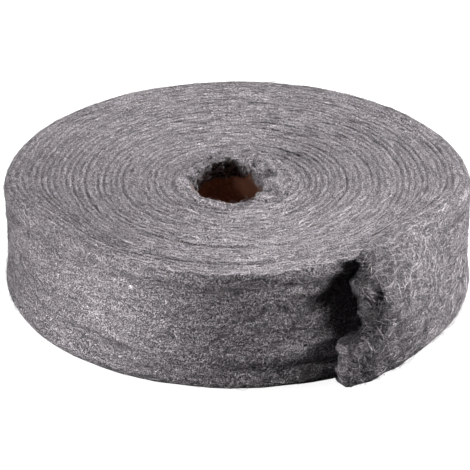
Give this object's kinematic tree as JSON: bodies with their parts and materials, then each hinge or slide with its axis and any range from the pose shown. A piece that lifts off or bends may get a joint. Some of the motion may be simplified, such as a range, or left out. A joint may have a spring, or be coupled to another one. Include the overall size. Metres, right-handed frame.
{
  "type": "steel wool roll",
  "caption": "Wide ribbon of steel wool wound flat on a cardboard core, lying on its end face, with a puffed loose end against its side.",
  "frame": {"origin": "on the axis of the roll, at the level of the face it stands on", "axes": "+Z along the roll's axis, up from the face it stands on; the loose end is 60 degrees clockwise of +X, seen from above"},
  "size_m": [0.3996, 0.3969, 0.1],
  "materials": {
    "steel_wool": "matted grey steel fibres with fine bright strands, rough and slightly sparkling",
    "cardboard": "matt brown wound paper tube with lighter flecks and a pale cut rim"
  },
  "bodies": {
    "root": {"wool_roll": "steel_wool", "core_tube": "cardboard"}
  },
  "joints": []
}
